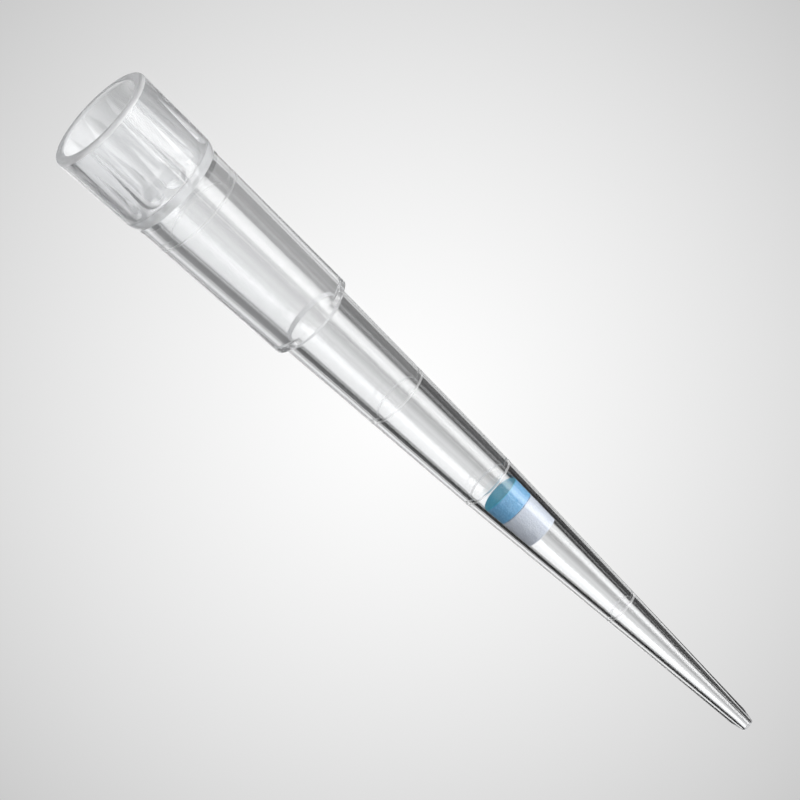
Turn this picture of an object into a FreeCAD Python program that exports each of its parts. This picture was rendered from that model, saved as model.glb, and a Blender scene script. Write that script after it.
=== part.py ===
"""A filtered pipette tip: one clear moulded body with a two-layer filter plug in its bore.

The tip stands on its collar rim with its point up. The origin is the centre of the rim
plane, +Z runs along the axis to the point, and all sizes are in millimetres.
"""
import FreeCAD, Part

import math
import os

# Lengths along the axis, from the rim to the point. The slim point below the knee
# takes whatever length the other sections leave.
TIP_LENGTH = 53.0
COLLAR_LENGTH = 5.75
SHOULDER_LENGTH = 0.45
BAND_LENGTH = 0.3
UPPER_LENGTH = 10.75
STEP_LENGTH = 0.28
SLIM_LENGTH = 14.07
NOSE_LENGTH = 0.8

# Bore radii, from the mouth to the point.
SOCKET_MOUTH_RADIUS = 2.85
SOCKET_END_RADIUS = 2.80
SEAL_RADIUS = 2.16
SEAT_END_RADIUS = 1.84
SLIM_BORE_RADIUS = 1.705
KNEE_BORE_RADIUS = 1.31
POINT_BORE_RADIUS = 0.24

# Lengths that belong to the bore alone.
SOCKET_SHORT_OF_COLLAR = 0.18
LEAD_IN_LENGTH = 0.62
SEAL_LENGTH = 2.0
INNER_STEP_AHEAD = 0.2

# Wall thicknesses: each outer radius is the bore radius there plus a wall.
RIM_WALL = 0.68
COLLAR_WALL = 0.56
BAND_WALL = 0.99
UPPER_WALL = 0.95
STEP_WALL = 0.94
SLIM_WALL = 0.655
KNEE_WALL = 0.45
NOSE_WALL = 0.27
POINT_WALL = 0.14

# Edge roundings.
RIM_OUTER_EDGE = 0.25
RIM_INNER_EDGE = 0.15
SHOULDER_EDGE = 1.2
BAND_EDGE = 0.15
STEP_EDGE = 0.08
LEAD_IN_EDGE = 0.25
NOSE_EDGE = 1.2
POINT_EDGE = 0.05

# Spoon-shaped flutes in the socket's wall: they start near the rim, deepen and widen, and
# end round just short of the collar's end. The first one points along +X.
FLUTE_COUNT = 10
FLUTE_RADIUS = 1.1
FLUTE_DEPTH = 0.18
FLUTE_RIM_GAP = 0.20
FLUTE_COLLAR_GAP = 0.30

# Fine raised rings: a witness line under the shoulder and three volume marks, which sit
# at fixed distances from the point because the volume below them sets their place.
RING_HEIGHT = 0.012
RING_WIDTH = 0.14
WITNESS_PAST_BAND = 1.55
MARK_FROM_POINT = (10.45, 21.35, 28.77)

# The filter plug, measured up from the point, and its clearance in the bore.
FILTER_FROM_POINT = 17.04
WHITE_LAYER_LENGTH = 2.1
BLUE_LAYER_LENGTH = 1.30
FILTER_CLEARANCE = 0.02
FILTER_EDGE = 0.06

# Heights of the stations along the axis.
COLLAR_END = COLLAR_LENGTH
SHOULDER_END = COLLAR_END + SHOULDER_LENGTH
BAND_END = SHOULDER_END + BAND_LENGTH
STEP_START = BAND_END + UPPER_LENGTH
STEP_END = STEP_START + STEP_LENGTH
KNEE = STEP_END + SLIM_LENGTH
NOSE = TIP_LENGTH - NOSE_LENGTH
SOCKET_END = COLLAR_END - SOCKET_SHORT_OF_COLLAR
SEAL_START = SOCKET_END + LEAD_IN_LENGTH
SEAL_END = SEAL_START + SEAL_LENGTH
INNER_STEP_START = STEP_START - INNER_STEP_AHEAD

ORIGIN = FreeCAD.Vector(0, 0, 0)
AXIS = FreeCAD.Vector(0, 0, 1)

# The bore's outline from the mouth to the point: (radius, height, rounding).
BORE_OUTLINE = [
    (SOCKET_MOUTH_RADIUS, 0, RIM_INNER_EDGE),
    (SOCKET_END_RADIUS, SOCKET_END, LEAD_IN_EDGE),
    (SEAL_RADIUS, SEAL_START, LEAD_IN_EDGE),
    (SEAL_RADIUS, SEAL_END, 0),
    (SEAT_END_RADIUS, INNER_STEP_START, STEP_EDGE),
    (SLIM_BORE_RADIUS, STEP_END, STEP_EDGE),
    (KNEE_BORE_RADIUS, KNEE, 0),
    (POINT_BORE_RADIUS, TIP_LENGTH, POINT_EDGE),
]


def interpolate(outline, height):
    """Return the radius of an outline of (radius, height, rounding) at a height."""
    for (low_radius, low, _), (high_radius, high, _) in zip(outline, outline[1:]):
        if low <= height <= high:
            share = (height - low) / (high - low)
            return low_radius + share * (high_radius - low_radius)
    raise ValueError(f"height {height} is outside the outline")


# The outside from the point back to the rim, each radius being the bore plus its wall.
OUTER_OUTLINE = [
    (POINT_BORE_RADIUS + POINT_WALL, TIP_LENGTH, POINT_EDGE),
    (interpolate(BORE_OUTLINE, NOSE) + NOSE_WALL, NOSE, NOSE_EDGE),
    (KNEE_BORE_RADIUS + KNEE_WALL, KNEE, 0),
    (SLIM_BORE_RADIUS + SLIM_WALL, STEP_END, STEP_EDGE),
    (SEAT_END_RADIUS + STEP_WALL, STEP_START, STEP_EDGE),
    (SEAL_RADIUS + UPPER_WALL, BAND_END, 0),
    (SEAL_RADIUS + BAND_WALL, BAND_END, 0),
    (SEAL_RADIUS + BAND_WALL, SHOULDER_END, BAND_EDGE),
    (SOCKET_END_RADIUS + COLLAR_WALL, COLLAR_END, SHOULDER_EDGE),
    (SOCKET_MOUTH_RADIUS + RIM_WALL, 0, RIM_OUTER_EDGE),
]


def rounded_face(corners):
    """Return the flat face inside corners of (radius, height, rounding), in order."""
    points = [FreeCAD.Vector(radius, 0, height) for radius, height, _ in corners]
    arrivals = []
    arcs = []
    for index, point in enumerate(points):
        to_last = (points[index - 1] - point).normalize()
        to_next = (points[(index + 1) % len(points)] - point).normalize()
        rounding = corners[index][2]
        half_angle = to_last.getAngle(to_next) / 2
        if rounding == 0:
            arrivals.append((point, point))
            arcs.append(None)
            continue
        reach = rounding / math.tan(half_angle)
        start = point + to_last * reach
        end = point + to_next * reach
        bisector = (to_last + to_next).normalize()
        middle = point + bisector * (rounding / math.sin(half_angle) - rounding)
        arrivals.append((start, end))
        arcs.append(Part.Arc(start, middle, end).toShape())
    edges = []
    for index, arc in enumerate(arcs):
        if arc is not None:
            edges.append(arc)
        leave = arrivals[index][1]
        arrive = arrivals[(index + 1) % len(arrivals)][0]
        edges.append(Part.LineSegment(leave, arrive).toShape())
    return Part.Face(Part.Wire(edges))


def turned(corners):
    """Return the solid that an outline of corners makes when turned about the axis."""
    return rounded_face(corners).revolve(ORIGIN, AXIS, 360)


def bore_void(clearance):
    """Return the bore as a solid, drawn in from the wall by a clearance."""
    wall = [(radius - clearance, height, 0) for radius, height, _ in BORE_OUTLINE]
    return turned([(0, 0, 0)] + wall + [(0, TIP_LENGTH, 0)])


def slab(low, high):
    """Return a disc wider than the bore between two heights."""
    disc_start = FreeCAD.Vector(0, 0, low)
    return Part.makeCylinder(SOCKET_MOUTH_RADIUS, high - low, disc_start, AXIS)


def flute():
    """Return the cutter of one flute: a rod that leans into the wall and ends in a ball."""
    ball_reach = math.sqrt(FLUTE_RADIUS ** 2 - (FLUTE_RADIUS - FLUTE_DEPTH) ** 2)
    far = COLLAR_END - FLUTE_COLLAR_GAP - ball_reach
    inset = FLUTE_RADIUS - FLUTE_DEPTH
    start = FreeCAD.Vector(interpolate(BORE_OUTLINE, FLUTE_RIM_GAP) - FLUTE_RADIUS, 0, FLUTE_RIM_GAP)
    centre = FreeCAD.Vector(interpolate(BORE_OUTLINE, far) - inset, 0, far)
    rod = Part.makeCylinder(FLUTE_RADIUS, (centre - start).Length, start, centre - start)
    return rod.fuse(Part.makeSphere(FLUTE_RADIUS, centre))


def flutes():
    """Return the cutters of all flutes, evenly spaced round the socket."""
    cutters = []
    for index in range(FLUTE_COUNT):
        cutter = flute()
        cutter.rotate(ORIGIN, AXIS, index * 360 / FLUTE_COUNT)
        cutters.append(cutter)
    return cutters


def raised_ring(height):
    """Return one fine ring round the outside, rooted half-way into the wall."""
    surface = interpolate(OUTER_OUTLINE[::-1], height)
    root = (surface + interpolate(BORE_OUTLINE, height)) / 2
    low = height - RING_WIDTH / 2
    high = height + RING_WIDTH / 2
    crest = surface + RING_HEIGHT
    quarter = RING_WIDTH / 4
    return turned([
        (root, low, 0),
        (interpolate(OUTER_OUTLINE[::-1], low), low, 0),
        (crest, height - quarter, 0),
        (crest, height + quarter, 0),
        (interpolate(OUTER_OUTLINE[::-1], high), high, 0),
        (root, high, 0),
    ])


def tip_body():
    """Return the moulded body with its bore, flutes and fine rings."""
    shell = turned(BORE_OUTLINE + OUTER_OUTLINE)
    body = shell.cut(flutes())
    heights = [BAND_END + WITNESS_PAST_BAND]
    heights += [TIP_LENGTH - distance for distance in MARK_FROM_POINT]
    body = body.fuse([raised_ring(height) for height in heights])
    return body.removeSplitter()


def filter_layer(low, length):
    """Return one layer of the filter plug, which fills the bore less a clearance."""
    layer = bore_void(FILTER_CLEARANCE).common(slab(low, low + length))
    rims = [edge for edge in layer.Edges if edge.Curve.TypeId == "Part::GeomCircle"]
    return layer.makeFillet(FILTER_EDGE, rims)


def build():
    """Return every node of the tip by name."""
    white_end = TIP_LENGTH - FILTER_FROM_POINT
    white_start = white_end - WHITE_LAYER_LENGTH
    blue_start = white_start - BLUE_LAYER_LENGTH
    return {
        "tip_body": tip_body(),
        "blue_filter_layer": filter_layer(blue_start, BLUE_LAYER_LENGTH),
        "white_filter_layer": filter_layer(white_start, WHITE_LAYER_LENGTH),
    }


def main():
    """Write each node to its own STEP file."""
    os.makedirs("parts", exist_ok=True)
    for name, shape in build().items():
        shape.exportStep(f"parts/{name}.step")
        print(f"{name}: {len(shape.Solids)} solid, valid {shape.isValid()}, {shape.Volume:.3f} mm3")


main()
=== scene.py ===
"""The looks of a filtered pipette tip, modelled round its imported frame.

The tip stands on its collar rim with its point up, on a pale floor. The clear body is a
section drawn corner by corner and turned about the axis, then cut by its ten flutes. Two
sintered discs make the filter plug. Lengths are in metres, and MM turns millimetres into
metres.
"""

import logging
import math
from collections.abc import Iterator
from contextlib import contextmanager
from dataclasses import dataclass
from enum import Enum
from itertools import pairwise

import bpy
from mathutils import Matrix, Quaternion, Vector

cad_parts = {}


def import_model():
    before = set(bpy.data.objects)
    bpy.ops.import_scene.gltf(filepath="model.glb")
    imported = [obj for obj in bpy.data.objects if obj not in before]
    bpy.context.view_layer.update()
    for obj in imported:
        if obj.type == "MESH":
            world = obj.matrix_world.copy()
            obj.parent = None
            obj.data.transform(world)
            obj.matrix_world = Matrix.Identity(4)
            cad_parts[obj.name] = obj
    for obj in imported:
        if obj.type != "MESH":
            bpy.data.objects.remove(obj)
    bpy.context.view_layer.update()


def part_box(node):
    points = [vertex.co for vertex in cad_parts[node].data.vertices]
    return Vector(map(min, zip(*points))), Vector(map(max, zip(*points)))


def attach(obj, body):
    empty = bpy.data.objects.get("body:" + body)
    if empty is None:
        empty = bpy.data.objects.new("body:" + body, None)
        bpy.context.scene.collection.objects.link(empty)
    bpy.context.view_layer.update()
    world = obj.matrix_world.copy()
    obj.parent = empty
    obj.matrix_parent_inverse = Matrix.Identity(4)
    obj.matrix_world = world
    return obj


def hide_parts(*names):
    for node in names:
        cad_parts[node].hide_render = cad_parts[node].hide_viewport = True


LOG = logging.getLogger("pipette_tip")

MM = 0.001
NEARLY_LEVEL = 0.01 * MM
ROOT_BODY = "root"

Color = tuple[float, float, float]
Feed = bpy.types.NodeSocket | Vector | tuple[float, ...] | float


# --- Small tools for modelling ------------------------------------------------------------


class Element(Enum):
    """The kinds of element that edit mode selects, each by its list in a mesh."""

    VERT = "vertices"
    EDGE = "edges"
    FACE = "polygons"


def deselect_all() -> None:
    """Leave no object selected and none active."""
    if bpy.context.object is not None and bpy.context.object.mode != "OBJECT":
        bpy.ops.object.mode_set(mode="OBJECT")
    bpy.ops.object.select_all(action="DESELECT")
    bpy.context.view_layer.objects.active = None


def activate(piece: bpy.types.Object) -> None:
    """Select one object alone and make it active.

    Args:
        piece: The object that the next operators act on.
    """
    deselect_all()
    piece.select_set(True)
    bpy.context.view_layer.objects.active = piece


def apply_modifier(piece: bpy.types.Object, modifier: bpy.types.Modifier) -> None:
    """Apply one modifier to the mesh of the object that carries it."""
    activate(piece)
    bpy.ops.object.modifier_apply(modifier=modifier.name)


def smooth_by_angle(piece: bpy.types.Object, degrees: float) -> None:
    """Shade an object smooth, with edges over an angle in degrees left hard."""
    activate(piece)
    bpy.ops.object.shade_smooth_by_angle(angle=math.radians(degrees))


@contextmanager
def editing(
    piece: bpy.types.Object, kind: Element, wanted: list[int] | None = None
) -> Iterator[None]:
    """Open an object in edit mode with a selection, and close it again at the end.

    Args:
        piece: The object to edit.
        kind: The kind of element to select.
        wanted: The indices of the elements to select, or None for the whole mesh.

    Yields:
        Nothing. The operators in the block act on the selection.
    """
    activate(piece)
    bpy.ops.object.mode_set(mode="EDIT")
    bpy.ops.mesh.select_mode(type=kind.name)
    bpy.ops.mesh.select_all(action="SELECT" if wanted is None else "DESELECT")
    if wanted is not None:
        bpy.ops.object.mode_set(mode="OBJECT")
        elements = getattr(piece.data, kind.value)
        for index in wanted:
            elements[index].select = True
        bpy.ops.object.mode_set(mode="EDIT")
    yield
    bpy.ops.object.mode_set(mode="OBJECT")


# --- Outlines -----------------------------------------------------------------------------


@dataclass(frozen=True)
class Corner:
    """One corner of an outline that is turned about the tip's axis.

    Attributes:
        radius: The distance from the axis.
        height: The height above the rim plane.
        rounding: The radius of the corner's rounding, or 0 for a plain corner.
    """

    radius: float
    height: float
    rounding: float = 0.0

    @property
    def place(self) -> Vector:
        """The corner's place in the plane of +X and +Z."""
        return Vector((self.radius, 0.0, self.height))


def radius_at(corners: list[Corner], height: float) -> float:
    """Return the radius of an outline at a height.

    Args:
        corners: The outline's corners, from low to high.
        height: The height to read, inside the outline's span.

    Returns:
        The radius there, with no account of roundings.
    """
    for low, high in pairwise(corners):
        if low.height <= height <= high.height:
            share = (height - low.height) / (high.height - low.height)
            return low.radius + share * (high.radius - low.radius)
    raise ValueError(f"height {height} is outside the outline")


@dataclass
class TurnedOutline:
    """A closed outline that becomes a solid of revolution.

    Attributes:
        name: The name of the object that it makes.
        corners: The outline's corners, in order round it.
        longest_run: The longest piece of straight outline before it is divided.
        arc_steps: The number of pieces that each rounding is made of.
        turn_steps: The number of steps in the full turn.
        seam_gap: The distance under which points merge where the turn closes.
    """

    name: str
    corners: list[Corner]
    longest_run: float = 0.5 * MM
    arc_steps: int = 8
    turn_steps: int = 144
    seam_gap: float = 0.0005 * MM

    def build(self) -> bpy.types.Object:
        """Draw, round, divide and turn the outline.

        Returns:
            The turned object, closed and with its faces outwards.
        """
        piece = self.draw()
        self.round_corners(piece)
        self.divide_runs(piece)
        self.turn(piece)
        return piece

    def draw(self) -> bpy.types.Object:
        """Draw a wire through the corners, by one extrusion for each.

        Returns:
            The wire's object.
        """
        deselect_all()
        bpy.ops.mesh.primitive_plane_add(size=MM, location=(0.0, 0.0, 0.0))
        piece = bpy.context.object
        piece.name = self.name
        piece.data.name = self.name
        with editing(piece, Element.VERT):
            bpy.ops.mesh.merge(type="CENTER")
            bpy.ops.transform.translate(value=self.corners[0].place)
            for last, following in pairwise(self.corners):
                step = following.place - last.place
                bpy.ops.mesh.extrude_region_move(TRANSFORM_OT_translate={"value": step})
        with editing(piece, Element.VERT, [0, len(self.corners) - 1]):
            bpy.ops.mesh.edge_face_add()
        return piece

    def round_corners(self, piece: bpy.types.Object) -> None:
        """Bevel each corner that has a rounding.

        Args:
            piece: The wire through the corners.
        """
        count = len(self.corners)
        for index, corner in enumerate(self.corners):
            if corner.rounding == 0:
                continue
            to_last = self.corners[index - 1].place - corner.place
            to_next = self.corners[(index + 1) % count].place - corner.place
            reach = corner.rounding / math.tan(to_last.angle(to_next) / 2)
            with editing(piece, Element.VERT, [self.nearest(piece, corner.place)]):
                bpy.ops.mesh.bevel(
                    offset_type="OFFSET",
                    offset=reach,
                    segments=self.arc_steps,
                    profile=0.5,
                    affect="VERTICES",
                )

    def nearest(self, piece: bpy.types.Object, place: Vector) -> int:
        """Return the index of the vertex nearest to a place."""
        gaps = [(vertex.co - place).length for vertex in piece.data.vertices]
        return gaps.index(min(gaps))

    def divide_runs(self, piece: bpy.types.Object) -> None:
        """Divide each long straight run of the wire into equal pieces.

        Args:
            piece: The wire to divide.
        """
        while long_runs := [edge for edge in piece.data.edges if self.cuts(piece, edge) > 0]:
            cuts = self.cuts(piece, long_runs[0])
            with editing(piece, Element.VERT, list(long_runs[0].vertices)):
                bpy.ops.mesh.subdivide(number_cuts=cuts)

    def cuts(self, piece: bpy.types.Object, edge: bpy.types.MeshEdge) -> int:
        """Return how many even cuts bring an edge's pieces under the longest run."""
        start, end = (piece.data.vertices[index].co for index in edge.vertices)
        return math.ceil((start - end).length / self.longest_run) - 1

    def turn(self, piece: bpy.types.Object) -> None:
        """Spin the wire a full turn about the axis and close the seam.

        Args:
            piece: The wire to spin.
        """
        with editing(piece, Element.VERT):
            bpy.ops.mesh.spin(
                steps=self.turn_steps,
                angle=math.tau,
                center=(0.0, 0.0, 0.0),
                axis=(0.0, 0.0, 1.0),
            )
            bpy.ops.mesh.select_all(action="SELECT")
            bpy.ops.mesh.remove_doubles(threshold=self.seam_gap)
            bpy.ops.mesh.normals_make_consistent(inside=False)


# --- Tools for node trees -----------------------------------------------------------------


class NodeMaker:
    """Adds nodes to one node tree, each with its settings and inputs in one call."""

    def __init__(self, tree: bpy.types.NodeTree) -> None:
        """Keep the tree to build in."""
        self.tree = tree

    def add(
        self, kind: str, inputs: dict[str | int, Feed] | None = None, **settings: object
    ) -> bpy.types.Node:
        """Add one node.

        Args:
            kind: The node's type.
            inputs: What feeds each input, by the input's name or number.
            settings: The node's own settings, made before its inputs are fed.

        Returns:
            The node.
        """
        node = self.tree.nodes.new(kind)
        for name, value in settings.items():
            setattr(node, name, value)
        for key, value in (inputs or {}).items():
            if isinstance(value, bpy.types.NodeSocket):
                self.tree.links.new(value, node.inputs[key])
            else:
                node.inputs[key].default_value = value
        return node

    def math(self, operation: str, *inputs: Feed) -> bpy.types.NodeSocket:
        """Return the output of a Math node that works on sockets or numbers."""
        node = self.add("ShaderNodeMath", dict(enumerate(inputs)), operation=operation)
        return node.outputs["Value"]

    def mix(
        self, mask: Feed, first: Feed, second: Feed, data_type: str = "FLOAT"
    ) -> bpy.types.NodeSocket:
        """Return a mix, by a mask, of two levels or, with RGBA, of two colours."""
        inputs = {"Factor": mask, "A": first, "B": second}
        return self.add("ShaderNodeMix", inputs, data_type=data_type).outputs["Result"]


class MaterialMaker(NodeMaker):
    """Makes one new material, node by node."""

    def __init__(self, name: str) -> None:
        """Start the material with an empty tree.

        Args:
            name: The material's name.
        """
        self.material = bpy.data.materials.new(name)
        self.material.use_nodes = True
        super().__init__(self.material.node_tree)
        self.tree.nodes.clear()

    def choose(
        self, mask: Feed, first: bpy.types.Node, second: bpy.types.Node
    ) -> bpy.types.Node:
        """Add the node that turns from one shader to another as a mask goes from 0 to 1."""
        inputs = {"Fac": mask, 1: first.outputs["BSDF"], 2: second.outputs["BSDF"]}
        return self.add("ShaderNodeMixShader", inputs)

    def finish(self, shader: bpy.types.Node) -> bpy.types.Material:
        """Make a shader the material's surface and return the material."""
        self.add("ShaderNodeOutputMaterial", {"Surface": shader.outputs[0]})
        return self.material


# --- Finishes -----------------------------------------------------------------------------


class EffectGroups:
    """The shader effects that more than one finish uses, each built once."""

    GRAIN = "sintered_grain"
    GAP_DISTANCE = 0.75
    TOP_DISTANCE = 0.1
    BLUR = 0.4
    PATCH_SCALE = 0.3
    PATCH_DETAIL = 3.0

    @classmethod
    def grain(cls) -> bpy.types.NodeTree:
        """Return the group that draws the fused beads of sintered plastic.

        Returns:
            A node group with the inputs Bead Size and Unevenness, and the outputs Shade, which
            runs from the gaps between beads to their tops, and Height.
        """
        if cls.GRAIN in bpy.data.node_groups:
            return bpy.data.node_groups[cls.GRAIN]
        tree = bpy.data.node_groups.new(cls.GRAIN, "ShaderNodeTree")
        ways = {"Bead Size": "INPUT", "Unevenness": "INPUT", "Shade": "OUTPUT", "Height": "OUTPUT"}
        for name, way in ways.items():
            tree.interface.new_socket(name, in_out=way, socket_type="NodeSocketFloat")
        maker = NodeMaker(tree)
        entry = maker.add("NodeGroupInput").outputs
        place = maker.add("ShaderNodeTexCoord").outputs["Object"]
        scale = maker.math("DIVIDE", 1.0, entry["Bead Size"])
        beads = maker.add(
            "ShaderNodeTexVoronoi",
            {"Vector": place, "Scale": scale, "Smoothness": cls.BLUR},
            feature="SMOOTH_F1",
        )
        tops = maker.add(
            "ShaderNodeMapRange",
            {
                "Value": beads.outputs["Distance"],
                "From Min": cls.GAP_DISTANCE,
                "From Max": cls.TOP_DISTANCE,
            },
        ).outputs["Result"]
        slow = maker.math("MULTIPLY", scale, cls.PATCH_SCALE)
        patches = maker.add(
            "ShaderNodeTexNoise", {"Vector": place, "Scale": slow, "Detail": cls.PATCH_DETAIL}
        )
        shade = maker.mix(entry["Unevenness"], tops, patches.outputs["Fac"])
        maker.add("NodeGroupOutput", {"Shade": shade, "Height": tops})
        return tree


@dataclass(frozen=True)
class ClearPlastic:
    """Clear glossy moulded polypropylene, as one insert of the mould leaves it.

    Attributes:
        name: The name of the polish.
        haze: The share of light that each surface scatters.
        roughness: The blur of what is seen through the walls.
        tint: The colour that the plastic passes.
        ior: The refractive index.
        shadow_tint: The share of lamp light that each surface passes.
        ripple_height: The height of the faint flow ripples in the moulded surface.
        ripple_length: The length of those ripples.
        ripple_detail: The number of finer ripples on top of them.
    """

    name: str
    haze: float
    roughness: float
    tint: Color = (0.985, 0.99, 0.995)
    ior: float = 1.49
    shadow_tint: Color = (0.86, 0.87, 0.88)
    ripple_height: float = 0.0004 * MM
    ripple_length: float = 1.6 * MM
    ripple_detail: float = 1.0

    def material(self) -> bpy.types.Material:
        """Make the finish, which bends light and lets lamps through.

        Returns:
            Its material.
        """
        maker = MaterialMaker(f"clear_polypropylene_{self.name}")
        place = maker.add("ShaderNodeTexCoord").outputs["Object"]
        ripples = maker.add(
            "ShaderNodeTexNoise",
            {"Vector": place, "Scale": 1.0 / self.ripple_length, "Detail": self.ripple_detail},
        )
        relief = maker.add(
            "ShaderNodeBump",
            {"Distance": self.ripple_height, "Height": ripples.outputs["Fac"]},
        )
        plastic = maker.add(
            "ShaderNodeBsdfPrincipled",
            {
                "Base Color": (*self.tint, 1.0),
                "Roughness": self.roughness,
                "IOR": self.ior,
                "Transmission Weight": 1.0 - self.haze,
                "Normal": relief.outputs["Normal"],
            },
        )
        passing = maker.add("ShaderNodeBsdfTransparent", {"Color": (*self.shadow_tint, 1.0)})
        is_shadow = maker.add("ShaderNodeLightPath").outputs["Is Shadow Ray"]
        return maker.finish(maker.choose(is_shadow, plastic, passing))


@dataclass(frozen=True)
class SinteredPlastic:
    """Porous sintered polyethylene, dyed or plain.

    Attributes:
        name: The name of the finish.
        gap_color: The colour in the gaps between the beads.
        bead_color: The colour on top of the beads.
        bead_size: The size of one fused bead.
        relief: The height of the beads.
        unevenness: How far pale and dark patches take over from the single beads.
        roughness: The surface's roughness.
        ior: The refractive index.
    """

    name: str
    gap_color: Color
    bead_color: Color
    bead_size: float = 0.11 * MM
    relief: float = 0.012 * MM
    unevenness: float = 0.5
    roughness: float = 0.75
    ior: float = 1.5

    def material(self) -> bpy.types.Material:
        """Make the finish of fine fused beads.

        Returns:
            Its material.
        """
        maker = MaterialMaker(self.name)
        grain = maker.add(
            "ShaderNodeGroup",
            {"Bead Size": self.bead_size, "Unevenness": self.unevenness},
            node_tree=EffectGroups.grain(),
        ).outputs
        gap, bead = (*self.gap_color, 1.0), (*self.bead_color, 1.0)
        relief = maker.add(
            "ShaderNodeBump", {"Distance": self.relief, "Height": grain["Height"]}
        )
        plastic = maker.add(
            "ShaderNodeBsdfPrincipled",
            {
                "Base Color": maker.mix(grain["Shade"], gap, bead, "RGBA"),
                "Roughness": self.roughness,
                "IOR": self.ior,
                "Normal": relief.outputs["Normal"],
            },
        )
        return maker.finish(plastic)


class Polish(Enum):
    """The finishes that the mould's inserts leave outside, and its core pin inside."""

    GLOSS = ClearPlastic("gloss", haze=0.12, roughness=0.04)
    SATIN = ClearPlastic("satin", haze=0.25, roughness=0.06)
    FINE = ClearPlastic("fine", haze=0.125, roughness=0.04)
    SEMI_GLOSS = ClearPlastic("semi_gloss", haze=0.05, roughness=0.025)
    MIRROR = ClearPlastic("mirror", haze=0.0, roughness=0.0)
    FROST = ClearPlastic("frost", haze=0.50, roughness=0.12)
    ETCH = ClearPlastic("etch", haze=0.30, roughness=0.08)
    SOCKET = ClearPlastic("socket", haze=0.26, roughness=0.13)
    BORE = ClearPlastic("bore", haze=0.0, roughness=0.015)


def dress(piece: bpy.types.Object, made: bpy.types.Material) -> None:
    """Give an object one material and no other."""
    piece.data.materials.clear()
    piece.data.materials.append(made)


# --- The moulded body ---------------------------------------------------------------------


@dataclass(frozen=True)
class Flutes:
    """The spoon-shaped flutes in the socket's wall.

    Attributes:
        count: How many there are, evenly spaced.
        radius: The radius of the rod that each is the track of.
        depth: The depth at the far end.
        rim_gap: Where they start, from the rim plane.
        collar_gap: Where they end, short of the collar's end.
        around: The number of steps round each rod.
    """

    count: int = 10
    radius: float = 1.1 * MM
    depth: float = 0.18 * MM
    rim_gap: float = 0.20 * MM
    collar_gap: float = 0.30 * MM
    around: int = 96


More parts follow.
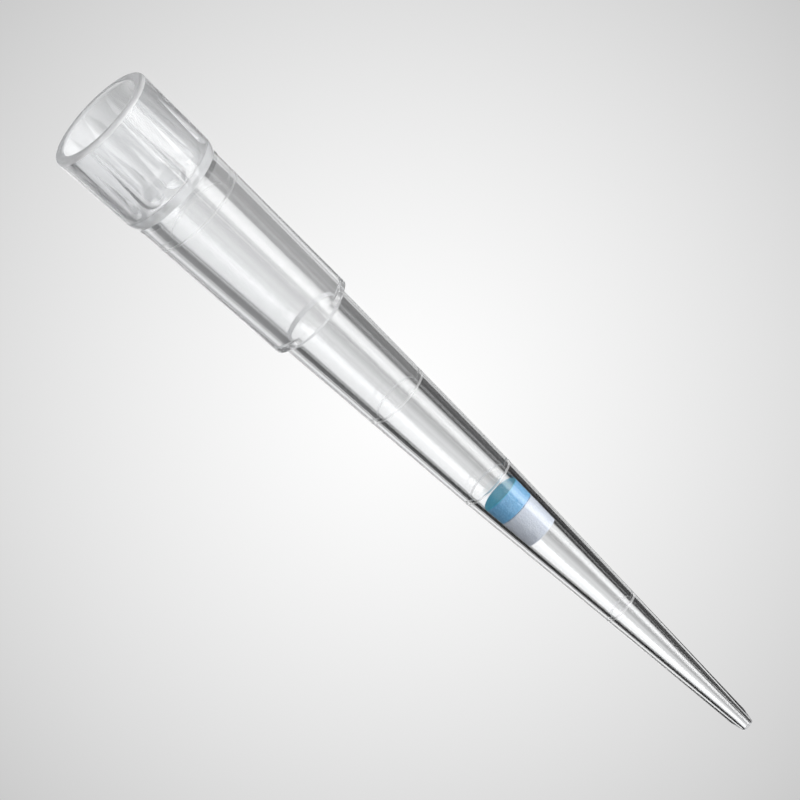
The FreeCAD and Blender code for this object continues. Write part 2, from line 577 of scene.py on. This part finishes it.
@dataclass
class TipBody:
    """The clear moulded body: collar, shoulder, upper body, step and slim point.

    Heights run from the rim plane. Each outer radius is the bore's radius plus a wall.
    """

    node: str = "tip_body"
    collar_length: float = 5.75 * MM
    shoulder_length: float = 0.45 * MM
    band_length: float = 0.3 * MM
    upper_length: float = 10.75 * MM
    step_length: float = 0.28 * MM
    slim_length: float = 14.07 * MM
    nose_length: float = 0.8 * MM

    socket_mouth_radius: float = 2.85 * MM
    socket_end_radius: float = 2.80 * MM
    seal_radius: float = 2.16 * MM
    seat_end_radius: float = 1.84 * MM
    slim_bore_radius: float = 1.705 * MM
    knee_bore_radius: float = 1.31 * MM
    point_bore_radius: float = 0.24 * MM

    socket_short_of_collar: float = 0.18 * MM
    lead_in_length: float = 0.62 * MM
    seal_length: float = 2.0 * MM
    inner_step_ahead: float = 0.2 * MM

    rim_wall: float = 0.68 * MM
    collar_wall: float = 0.56 * MM
    band_wall: float = 0.99 * MM
    upper_wall: float = 0.95 * MM
    step_wall: float = 0.94 * MM
    slim_wall: float = 0.655 * MM
    knee_wall: float = 0.45 * MM
    nose_wall: float = 0.27 * MM
    point_wall: float = 0.14 * MM

    rim_outer_edge: float = 0.25 * MM
    rim_inner_edge: float = 0.15 * MM
    shoulder_edge: float = 1.2 * MM
    band_edge: float = 0.15 * MM
    step_edge: float = 0.08 * MM
    lead_in_edge: float = 0.25 * MM
    nose_edge: float = 1.2 * MM
    point_edge: float = 0.05 * MM

    ring_height: float = 0.012 * MM
    ring_width: float = 0.14 * MM
    witness_past_band: float = 1.55 * MM
    marks_from_point: tuple[float, ...] = (28.77 * MM, 21.35 * MM, 10.45 * MM)
    hard_edge_angle: float = 14.0

    flutes: Flutes = Flutes()

    def __post_init__(self) -> None:
        """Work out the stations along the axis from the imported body's length."""
        self.tip_length = round(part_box(self.node)[1].z / MM, 1) * MM
        self.socket_end = self.collar_length - self.socket_short_of_collar
        self.seal_start = self.socket_end + self.lead_in_length
        self.shoulder_end = self.collar_length + self.shoulder_length
        self.band_end = self.shoulder_end + self.band_length
        self.step_start = self.band_end + self.upper_length
        self.step_end = self.step_start + self.step_length
        self.knee = self.step_end + self.slim_length
        self.nose = self.tip_length - self.nose_length
        marks = [self.tip_length - distance for distance in self.marks_from_point]
        self.ring_heights = [self.band_end + self.witness_past_band, *marks]
        self.polish_ends = {
            Polish.GLOSS: self.band_end,
            Polish.SATIN: self.step_end,
            Polish.FINE: marks[0],
            Polish.SEMI_GLOSS: marks[1],
            Polish.MIRROR: self.tip_length,
        }

    def bore(self) -> list[Corner]:
        """Draw the bore's outline.

        Returns:
            Its corners, from the mouth to the point.
        """
        seal_end = self.seal_start + self.seal_length
        inner_step = self.step_start - self.inner_step_ahead
        return [
            Corner(self.socket_mouth_radius, 0.0, self.rim_inner_edge),
            Corner(self.socket_end_radius, self.socket_end, self.lead_in_edge),
            Corner(self.seal_radius, self.seal_start, self.lead_in_edge),
            Corner(self.seal_radius, seal_end),
            Corner(self.seat_end_radius, inner_step, self.step_edge),
            Corner(self.slim_bore_radius, self.step_end, self.step_edge),
            Corner(self.knee_bore_radius, self.knee),
            Corner(self.point_bore_radius, self.tip_length, self.point_edge),
        ]

    def outside(self) -> list[Corner]:
        """Draw the outside's outline, with no rings.

        Returns:
            Its corners, from the rim to the point.
        """
        nose_bore = radius_at(self.bore(), self.nose)
        rim_radius = self.socket_mouth_radius + self.rim_wall
        collar_radius = self.socket_end_radius + self.collar_wall
        band_radius = self.seal_radius + self.band_wall
        point_radius = self.point_bore_radius + self.point_wall
        return [
            Corner(rim_radius, 0.0, self.rim_outer_edge),
            Corner(collar_radius, self.collar_length, self.shoulder_edge),
            Corner(band_radius, self.shoulder_end, self.band_edge),
            Corner(band_radius, self.band_end),
            Corner(self.seal_radius + self.upper_wall, self.band_end),
            Corner(self.seat_end_radius + self.step_wall, self.step_start, self.step_edge),
            Corner(self.slim_bore_radius + self.slim_wall, self.step_end, self.step_edge),
            Corner(self.knee_bore_radius + self.knee_wall, self.knee),
            Corner(nose_bore + self.nose_wall, self.nose, self.nose_edge),
            Corner(point_radius, self.tip_length, self.point_edge),
        ]

    def ring(self, height: float) -> list[Corner]:
        """Return the corners of one fine raised ring.

        Args:
            height: The height of the ring's middle.

        Returns:
            Its four corners, from low to high.
        """
        outside = self.outside()
        crest = radius_at(outside, height) + self.ring_height
        half = self.ring_width / 2
        return [
            Corner(radius_at(outside, height - half), height - half),
            Corner(crest, height - half / 2),
            Corner(crest, height + half / 2),
            Corner(radius_at(outside, height + half), height + half),
        ]

    def section(self) -> list[Corner]:
        """Return the whole section: up the bore, and down the outside with its rings.

        Returns:
            The corners in order. A corner of the outside that a ring covers is left out.
        """
        outside = self.outside()
        for height in self.ring_heights:
            after = next(i for i, corner in enumerate(outside) if corner.height > height)
            if abs(outside[after - 1].height - height) < self.ring_width:
                outside.pop(after - 1)
                after -= 1
            elif abs(outside[after].height - height) < self.ring_width:
                outside.pop(after)
            outside[after:after] = self.ring(height)
        return self.bore() + outside[::-1]

    def build(self) -> bpy.types.Object:
        """Model, dress and place the body.

        Returns:
            The finished body.
        """
        piece = TurnedOutline("clear_tip_body", self.section()).build()
        self.cut_flutes(piece)
        smooth_by_angle(piece, self.hard_edge_angle)
        self.polish(piece)
        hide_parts(self.node)
        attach(piece, ROOT_BODY)
        return piece

    def polish(self, piece: bpy.types.Object) -> None:
        """Give each stretch of the body the polish of its mould insert.

        Args:
            piece: The modelled body.
        """
        order = list(Polish)
        piece.data.materials.clear()
        for polish in order:
            piece.data.materials.append(polish.value.material())
        bore, outside = self.bore(), self.outside()
        for face in piece.data.polygons:
            height = face.center.z
            middle = (radius_at(bore, height) + radius_at(outside, height)) / 2
            is_outer = math.hypot(face.center.x, face.center.y) > middle
            face.material_index = order.index(self.polish_at(height, is_outer))

    def polish_at(self, height: float, is_outer: bool) -> Polish:
        """Return the polish of the body's surface at a height.

        Args:
            height: The surface's height.
            is_outer: Whether it is on the outside.

        Returns:
            The polish of the mould insert, or of the core pin, that leaves it.
        """
        if self.is_frosted(height, is_outer):
            return Polish.FROST
        if not is_outer:
            return Polish.SOCKET if height < self.collar_length else Polish.BORE
        if any(abs(height - ring) < self.ring_width / 2 for ring in self.ring_heights):
            return Polish.ETCH
        return next(polish for polish, end in self.polish_ends.items() if height <= end)

    def is_frosted(self, height: float, is_outer: bool) -> bool:
        """Return whether a surface is one that the mould leaves frosted.

        Args:
            height: The surface's height.
            is_outer: Whether it is on the outside.

        Returns:
            True for the rim and the lead-in, past its rounded start.
        """
        frost_start = self.socket_end + self.lead_in_edge / 2
        is_lead_in = frost_start < height < self.seal_start
        return height < self.rim_outer_edge or (is_lead_in and not is_outer)

    def flute_cutter(self, turn: float) -> bpy.types.Object:
        """Return the cutter of one flute: a ball drawn out into a leaning rod.

        Args:
            turn: The angle of the flute about the axis, from +X.

        Returns:
            The cutter, with its place in its mesh.
        """
        flutes = self.flutes
        inset = flutes.radius - flutes.depth
        ball_reach = math.sqrt(flutes.radius**2 - inset**2)
        far = self.collar_length - flutes.collar_gap - ball_reach
        bore = self.bore()
        centre = Vector((radius_at(bore, far) - inset, 0.0, far))
        start_radius = radius_at(bore, flutes.rim_gap) - flutes.radius
        start = Vector((start_radius, 0.0, flutes.rim_gap))
        deselect_all()
        bpy.ops.mesh.primitive_uv_sphere_add(
            segments=flutes.around,
            ring_count=flutes.around // 2,
            radius=flutes.radius,
            location=centre,
        )
        cutter = bpy.context.object
        bpy.ops.object.transform_apply(location=True, rotation=True, scale=True)
        widest = centre.z + NEARLY_LEVEL
        low_half = [vertex.index for vertex in cutter.data.vertices if vertex.co.z < widest]
        with editing(cutter, Element.VERT, low_half):
            bpy.ops.mesh.extrude_region_move(TRANSFORM_OT_translate={"value": start - centre})
        with editing(cutter, Element.VERT):
            bpy.ops.transform.rotate(
                value=-turn, orient_axis="Z", center_override=(0.0, 0.0, 0.0)
            )
            bpy.ops.mesh.normals_make_consistent(inside=False)
        return cutter

    def cut_flutes(self, piece: bpy.types.Object) -> None:
        """Cut the flutes into the socket's wall.

        Args:
            piece: The turned body.
        """
        for index in range(self.flutes.count):
            cutter = self.flute_cutter(math.tau * index / self.flutes.count)
            cut = piece.modifiers.new("flute", "BOOLEAN")
            cut.operation = "DIFFERENCE"
            cut.solver = "EXACT"
            cut.object = cutter
            apply_modifier(piece, cut)
            bpy.data.objects.remove(cutter)


# --- The filter plug ----------------------------------------------------------------------


class FilterColor(Enum):
    """The sintered plastics of the plug, by the part of it that each makes."""

    BLUE = SinteredPlastic(
        name="blue_beads",
        gap_color=(0.15, 0.42, 0.72),
        bead_color=(0.31, 0.65, 0.95),
    )
    # A lighter blue for the mouth-facing end of the blue disc: painted light on an end face that
    # lies in shade deep in the bore.
    BLUE_END = SinteredPlastic(
        name="blue_beads_end",
        gap_color=(0.11, 0.58, 0.90),
        bead_color=(0.21, 0.80, 0.98),
    )
    WHITE = SinteredPlastic(
        name="white_beads",
        gap_color=(0.69, 0.735, 0.83),
        bead_color=(0.85, 0.885, 0.94),
    )


@dataclass
class FilterLayer:
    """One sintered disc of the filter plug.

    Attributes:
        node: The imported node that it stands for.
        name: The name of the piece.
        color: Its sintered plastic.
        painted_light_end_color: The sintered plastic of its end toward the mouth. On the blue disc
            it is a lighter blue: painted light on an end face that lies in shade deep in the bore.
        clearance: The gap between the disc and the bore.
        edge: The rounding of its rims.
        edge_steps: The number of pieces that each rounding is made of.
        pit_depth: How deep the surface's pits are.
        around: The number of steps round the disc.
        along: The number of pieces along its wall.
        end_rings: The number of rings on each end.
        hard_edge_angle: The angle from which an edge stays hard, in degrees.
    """

    node: str
    name: str
    color: FilterColor
    painted_light_end_color: FilterColor
    clearance: float = 0.02 * MM
    edge: float = 0.06 * MM
    edge_steps: int = 4
    pit_depth: float = 0.014 * MM
    around: int = 160
    along: int = 40
    end_rings: int = 20
    hard_edge_angle: float = 40.0

    def build(self, bore: list[Corner]) -> bpy.types.Object:
        """Model, dress and place the layer, and return it.

        Args:
            bore: The outline of the bore that the layer sits in.

        Returns:
            The finished disc.
        """
        low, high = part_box(self.node)
        piece = self.disc(low, high, bore)
        self.pit(piece)
        smooth_by_angle(piece, self.hard_edge_angle)
        dress(piece, self.color.value.material())
        # The mouth-facing end and its rounded rim take the end colour, which on the blue disc is a
        # lighter blue painted in as light.
        if self.painted_light_end_color is not self.color:
            piece.data.materials.append(self.painted_light_end_color.value.material())
            for face in piece.data.polygons:
                face.material_index = int(face.center.z < low.z + self.edge)
        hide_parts(self.node)
        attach(piece, ROOT_BODY)
        return piece

    def disc(self, low: Vector, high: Vector, bore: list[Corner]) -> bpy.types.Object:
        """Return the tapered disc with rounded rims, finely divided.

        Args:
            low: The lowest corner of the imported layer.
            high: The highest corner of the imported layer.
            bore: The outline of the bore that the layer sits in.

        Returns:
            The disc.
        """
        middle = (low.z + high.z) / 2
        deselect_all()
        bpy.ops.mesh.primitive_cone_add(
            vertices=self.around,
            radius1=radius_at(bore, low.z) - self.clearance,
            radius2=radius_at(bore, high.z) - self.clearance,
            depth=high.z - low.z,
            end_fill_type="NGON",
            location=(0.0, 0.0, middle),
        )
        piece = bpy.context.object
        piece.name = self.name
        piece.data.name = self.name
        bpy.ops.object.transform_apply(location=True, rotation=True, scale=True)
        is_high = [vertex.co.z > middle for vertex in piece.data.vertices]
        rims = [
            edge.index
            for edge in piece.data.edges
            if is_high[edge.vertices[0]] == is_high[edge.vertices[1]]
        ]
        with editing(piece, Element.EDGE, rims):
            bpy.ops.mesh.bevel(offset=self.edge, segments=self.edge_steps, affect="EDGES")
        self.divide_wall(piece, low, high)
        self.divide_ends(piece)
        return piece

    def divide_wall(self, piece: bpy.types.Object, low: Vector, high: Vector) -> None:
        """Divide the disc's wall by evenly spaced level cuts.

        Args:
            piece: The disc.
            low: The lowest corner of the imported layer.
            high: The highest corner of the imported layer.
        """
        span = (high.z - low.z) - 2 * self.edge
        for index in range(1, self.along):
            with editing(piece, Element.FACE):
                bpy.ops.mesh.bisect(
                    plane_co=(0.0, 0.0, low.z + self.edge + span * index / self.along),
                    plane_no=(0.0, 0.0, 1.0),
                )

    def divide_ends(self, piece: bpy.types.Object) -> None:
        """Divide the two flat ends into rings that shrink to the middle.

        Args:
            piece: The disc.
        """
        ends = [face for face in piece.data.polygons if len(face.vertices) == self.around]
        rim_points = [piece.data.vertices[end.vertices[0]].co for end in ends]
        reach = max(math.hypot(point.x, point.y) for point in rim_points)
        with editing(piece, Element.FACE, [end.index for end in ends]):
            for _ in range(self.end_rings - 1):
                bpy.ops.mesh.inset(thickness=reach / (self.end_rings + 1), depth=0.0)
            bpy.ops.mesh.poke()

    def pit(self, piece: bpy.types.Object) -> None:
        """Sink fine pits into the surface, as between fused beads.

        Args:
            piece: The disc.
        """
        beads = bpy.data.textures.new(f"{self.name}_beads", "VORONOI")
        beads.noise_scale = self.color.value.bead_size
        beads.noise_intensity = 1.0
        pits = piece.modifiers.new("pits", "DISPLACE")
        pits.texture = beads
        pits.texture_coords = "LOCAL"
        pits.strength = -self.pit_depth
        pits.mid_level = 0.0
        apply_modifier(piece, pits)


@dataclass
class FilterPlug:
    """The two-layer plug: blue toward the mouth, white toward the point."""

    layers: tuple[FilterLayer, ...] = (
        FilterLayer(
            "blue_filter_layer", "blue_filter_disc", FilterColor.BLUE, FilterColor.BLUE_END
        ),
        FilterLayer(
            "white_filter_layer", "white_filter_disc", FilterColor.WHITE, FilterColor.WHITE
        ),
    )

    def build(self, bore: list[Corner]) -> list[bpy.types.Object]:
        """Build each layer in the bore and return the pieces."""
        return [layer.build(bore) for layer in self.layers]


# --- The studio ---------------------------------------------------------------------------


@dataclass(frozen=True)
class Card:
    """One upright card or soft light that stands round the tip.

    Attributes:
        centre: Its bearing in degrees, from straight behind the tip, positive to the camera's
            upper right.
        half_width: Half of its width in degrees.
        softness: The width of each soft edge in degrees.
        level: Its brightness, where 1 is white.
    """

    centre: float
    half_width: float
    softness: float
    level: float


@dataclass(frozen=True)
class Glow:
    """The round white glow of the backdrop behind the tip.

    Attributes:
        curve: The power of the distance that the fall follows.
        fall: The brightness lost at the view's corner, where 1 is white.
        least: The brightness that is left far out.
    """

    curve: float = 1.25
    fall: float = 0.40
    least: float = 0.44


@dataclass(frozen=True)
class Lamp:
    """One round soft lamp, placed as it is seen from the camera.

    Attributes:
        size: The width of its disc.
        power: Its power in watts.
        left: How far left of the tip it hangs.
        forward: How far toward the camera it hangs.
        height: How high above the floor it hangs.
    """

    size: float = 0.35
    power: float = 2.25
    left: float = 0.32
    forward: float = 0.28
    height: float = 0.28


@dataclass
class Studio:
    """The floor, the lights, the surroundings and the camera."""

    azimuth: float = 28.0
    elevation: float = -16.62
    roll: float = 133.12
    aim_height: float = 24.53 * MM
    frame_width: float = 45.62 * MM
    distance: float = 1800.0 * MM
    sensor_width: float = 36.0
    near_clip: float = 0.01
    far_clip: float = 100.0
    floor_size: float = 12.0
    floor_drop: float = 0.02 * MM
    floor_color: Color = (0.64, 0.64, 0.65)
    lamp: Lamp = Lamp()
    glow: Glow = Glow()
    ambient: float = 0.54
    path_length: int = 40
    cards: tuple[Card, ...] = (
        Card(centre=8.4, half_width=9.6, softness=1.9, level=0.23),
        Card(centre=-14.1, half_width=12.9, softness=13.4, level=1.12),
        Card(centre=10.2, half_width=5.5, softness=8.0, level=0.50),
        Card(centre=48.3, half_width=14.9, softness=8.8, level=0.04),
        Card(centre=129.4, half_width=15.9, softness=2.9, level=3.5),
        Card(centre=114.5, half_width=31.0, softness=5.1, level=0.6),
        Card(centre=-34.9, half_width=1.5, softness=2.5, level=1.3),
        Card(centre=-177.3, half_width=24.3, softness=29.0, level=0.76),
        Card(centre=156.7, half_width=1.5, softness=1.9, level=3.3),
    )
    card_bottom: float = -6.0
    card_top: float = 42.0
    card_fade: float = 8.0
    sky_level: float = 0.92

    def build(self) -> None:
        """Set up the whole studio, and let light pass through many walls."""
        self.lay_floor()
        self.hang_lamp()
        self.paint_world()
        self.place_camera()
        scene = bpy.context.scene
        scene.view_settings.view_transform = "Standard"
        scene.cycles.max_bounces = self.path_length
        scene.cycles.glossy_bounces = self.path_length
        scene.cycles.transmission_bounces = self.path_length

    def lay_floor(self) -> None:
        """Lay the pale floor, which can be seen through from below."""
        deselect_all()
        bpy.ops.mesh.primitive_plane_add(
            size=self.floor_size, location=(0.0, 0.0, -self.floor_drop)
        )
        floor = bpy.context.object
        floor.name = "floor"
        maker = MaterialMaker("pale_floor")
        matte = maker.add("ShaderNodeBsdfDiffuse", {"Color": (*self.floor_color, 1.0)})
        passing = maker.add("ShaderNodeBsdfTransparent")
        is_back = maker.add("ShaderNodeNewGeometry").outputs["Backfacing"]
        dress(floor, maker.finish(maker.choose(is_back, matte, passing)))
        floor.visible_diffuse = False

    def hang_lamp(self) -> None:
        """Hang one large soft lamp above and to the side."""
        light = bpy.data.lights.new("soft_key", "AREA")
        light.shape = "DISK"
        light.size = self.lamp.size
        light.energy = self.lamp.power
        key = bpy.data.objects.new("soft_key", light)
        bpy.context.scene.collection.objects.link(key)
        turn = math.radians(self.azimuth)
        right = Vector((math.cos(turn), math.sin(turn), 0.0))
        toward_camera = Vector((math.sin(turn), -math.cos(turn), 0.0))
        up = Vector((0.0, 0.0, 1.0))
        key.location = (
            toward_camera * self.lamp.forward - right * self.lamp.left + up * self.lamp.height
        )
        key.rotation_mode = "QUATERNION"
        key.rotation_quaternion = (-key.location).to_track_quat("-Z", "Y")
        key.visible_glossy = False
        key.visible_transmission = False
        key.visible_camera = False

    def back_direction(self) -> Vector:
        """Work out where the camera stands, seen from the tip.

        Returns:
            The direction from the tip to the camera.
        """
        turn = math.radians(self.azimuth)
        rise = math.radians(self.elevation)
        return Vector(
            (
                math.sin(turn) * math.cos(rise),
                -math.cos(turn) * math.cos(rise),
                math.sin(rise),
            )
        )

    def paint_world(self) -> None:
        """Paint the surroundings: a glow for the camera, and cards for clear surfaces."""
        world = bpy.data.worlds.new("studio")
        bpy.context.scene.world = world
        world.use_nodes = True
        world.node_tree.nodes.clear()
        painter = WorldPainter(world.node_tree)
        glow = painter.glow(self.glow, -self.back_direction(), self.view_corner())
        cards = painter.cards(self.azimuth, self.cards)
        sky = painter.sky(self.card_bottom, self.card_top, self.card_fade)
        painter.finish(glow, painter.mix(sky, cards, self.sky_level), self.ambient)

    def view_corner(self) -> float:
        """Return the distance, in directions, from the view's middle to its corner."""
        return self.frame_width / self.distance / math.sqrt(2.0)

    def place_camera(self) -> None:
        """Place the camera, rolled so that the tip lies across the frame's diagonal."""
        data = bpy.data.cameras.new("camera")
        data.sensor_width = self.sensor_width
        data.lens = self.sensor_width * self.distance / self.frame_width
        data.clip_start = self.near_clip
        data.clip_end = self.far_clip
        camera = bpy.data.objects.new("camera", data)
        bpy.context.scene.collection.objects.link(camera)
        back = self.back_direction()
        level = (-back).to_track_quat("-Z", "Y")
        turn = Quaternion((0.0, 0.0, 1.0), math.radians(self.roll))
        camera.rotation_mode = "QUATERNION"
        camera.rotation_quaternion = level @ turn
        camera.location = Vector((0.0, 0.0, self.aim_height)) + back * self.distance
        bpy.context.scene.camera = camera


class WorldPainter(NodeMaker):
    """Paints the surroundings, as the world's nodes."""

    def __init__(self, tree: bpy.types.NodeTree) -> None:
        """Start with the direction that a ray looks in."""
        super().__init__(tree)
        self.direction = self.add("ShaderNodeTexCoord").outputs["Generated"]

    def fade(
        self, value: bpy.types.NodeSocket, start: float, end: float, low: float, high: float
    ) -> bpy.types.NodeSocket:
        """Return a level that runs smoothly from a low to a high end.

        Args:
            value: What the fade follows.
            start: The value where the fade starts.
            end: The value where the fade ends.
            low: The level at the start.
            high: The level at the end.

        Returns:
            The faded level.
        """
        node = self.add(
            "ShaderNodeMapRange",
            {"Value": value, "From Min": start, "From Max": end, "To Min": low, "To Max": high},
            interpolation_type="SMOOTHSTEP",
        )
        return node.outputs["Result"]

    def glow(self, glow: Glow, middle: Vector, corner: float) -> bpy.types.NodeSocket:
        """Return the brightness of the backdrop.

        Args:
            glow: How the glow falls off.
            middle: The direction of the glow's middle.
            corner: The distance from the middle to the view's corner.

        Returns:
            The brightness.
        """
        inputs = {0: self.direction, 1: middle}
        gap = self.add("ShaderNodeVectorMath", inputs, operation="DISTANCE")
        share = self.math("DIVIDE", gap.outputs["Value"], corner)
        fall = self.math("MULTIPLY", self.math("POWER", share, glow.curve), glow.fall)
        return self.math("MAXIMUM", self.math("SUBTRACT", 1.0, fall), glow.least)

    def sky(self, bottom: float, top: float, soft: float) -> bpy.types.NodeSocket:
        """Return how far a direction has left the cards for the white above and below.

        Args:
            bottom: The angle above level of the cards' lower edge, in degrees.
            top: The angle above level of the cards' upper edge, in degrees.
            soft: The angle over which each edge fades, in degrees.

        Returns:
            A mask that is 0 on the cards and 1 on the white.
        """
        rise = self.add("ShaderNodeSeparateXYZ", {"Vector": self.direction}).outputs["Z"]
        edges = [math.sin(math.radians(a)) for a in (bottom - soft, bottom, top, top + soft)]
        below = self.fade(rise, edges[0], edges[1], 1.0, 0.0)
        above = self.fade(rise, edges[2], edges[3], 0.0, 1.0)
        return self.math("ADD", below, above)

    def cards(self, azimuth: float, cards: tuple[Card, ...]) -> Feed:
        """Return the brightness of the cards that stand round the tip.

        Args:
            azimuth: The camera's azimuth in degrees.
            cards: The cards.

        Returns:
            The sum of the cards' brightness.
        """
        turned = self.add(
            "ShaderNodeVectorRotate",
            {"Vector": self.direction, "Angle": math.radians(-azimuth)},
            rotation_type="Z_AXIS",
        )
        split = self.add("ShaderNodeSeparateXYZ", {"Vector": turned.outputs["Vector"]}).outputs
        across = self.math("MULTIPLY", split["X"], -1.0)
        bearing = self.math("ARCTAN2", across, split["Y"])
        total = 0.0
        for card in cards:
            offset = self.math("SUBTRACT", bearing, math.radians(card.centre))
            distance = self.math("ABSOLUTE", self.math("WRAP", offset, math.pi, -math.pi))
            inner = math.radians(card.half_width - card.softness / 2)
            outer = math.radians(card.half_width + card.softness / 2)
            total = self.math("ADD", total, self.fade(distance, inner, outer, card.level, 0.0))
        return total

    def finish(self, glow: Feed, around: Feed, ambient: float) -> None:
        """Choose what each kind of ray sees and close the tree.

        Args:
            glow: What the camera sees.
            around: What clear and glossy surfaces show, until the light meets a matte one.
            ambient: The level of the light on matte surfaces.
        """
        path = self.add("ShaderNodeLightPath").outputs
        clear = self.math("ADD", path["Is Glossy Ray"], path["Is Transmission Ray"])
        before_matte = self.math("LESS_THAN", path["Diffuse Depth"], 1.0)
        seen = self.mix(self.math("MULTIPLY", clear, before_matte), ambient, around)
        level = self.mix(path["Is Camera Ray"], seen, glow)
        white = (1.0, 1.0, 1.0, 1.0)
        background = self.add("ShaderNodeBackground", {"Color": white, "Strength": level})
        self.add("ShaderNodeOutputWorld", {"Surface": background.outputs["Background"]})


# --- Building it all ----------------------------------------------------------------------


def main() -> None:
    """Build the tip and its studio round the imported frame."""
    logging.basicConfig(level=logging.INFO, format="%(name)s: %(message)s")
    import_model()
    body = TipBody()
    pieces = [body.build(), *FilterPlug().build(body.bore())]
    for piece in pieces:
        LOG.info("%s: %d faces", piece.name, len(piece.data.polygons))
    Studio().build()


if __name__ == "__main__":
    main()
